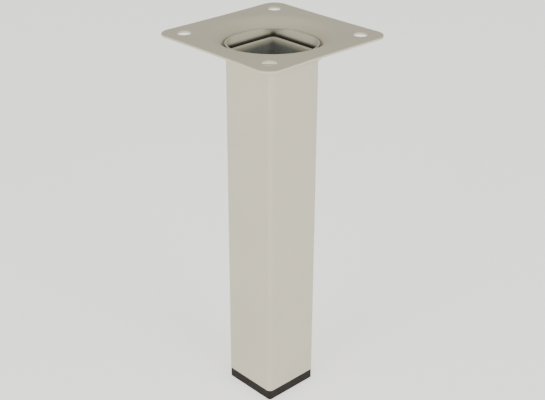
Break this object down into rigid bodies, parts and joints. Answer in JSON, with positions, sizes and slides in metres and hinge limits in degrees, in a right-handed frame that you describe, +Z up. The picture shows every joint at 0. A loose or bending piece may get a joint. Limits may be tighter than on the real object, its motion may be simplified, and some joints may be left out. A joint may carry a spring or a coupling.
{
  "type": "furniture leveling foot",
  "caption": "Square steel furniture leg with a dished screw-on top plate and a screw-adjusted plastic levelling foot.",
  "frame": {"origin": "on the floor, under the centre of the foot", "axes": "+Z up along the tube's axis, X and Y square to the tube's sides and the plate's edges"},
  "size_m": [0.06, 0.06, 0.15],
  "materials": {
    "powder_coat": "warm grey powder coat, satin, fine orange peel",
    "foot_plastic": "moulded black-brown plastic, fine grain",
    "zinc_steel": "zinc-plated steel",
    "plug_plastic": "moulded dark grey plastic"
  },
  "bodies": {
    "leg": {"mounting_plate": "powder_coat", "neck_collar": "powder_coat", "leg_tube": "powder_coat", "tube_plug": "plug_plastic", "spindle_nut": "zinc_steel"},
    "foot": {"foot_pad": "foot_plastic", "retaining_ring": "zinc_steel"},
    "spindle": {"levelling_spindle": "zinc_steel", "thrust_washer": "zinc_steel"}
  },
  "joints": [
    {"name": "foot_lift", "type": "slide", "parent": "foot", "child": "leg", "axis": [0, 0, 1], "range_m": [0, 0.012]},
    {"name": "spindle_turn", "type": "hinge", "parent": "foot", "child": "spindle", "pos_m": [0, 0, 0.0033], "axis": [0, 0, -1], "range_deg": [0, 3457]}
  ],
  "couplings": [
    {"joint": "spindle_turn", "follows": "foot_lift", "rad_per_m": 5026.5}
  ]
}
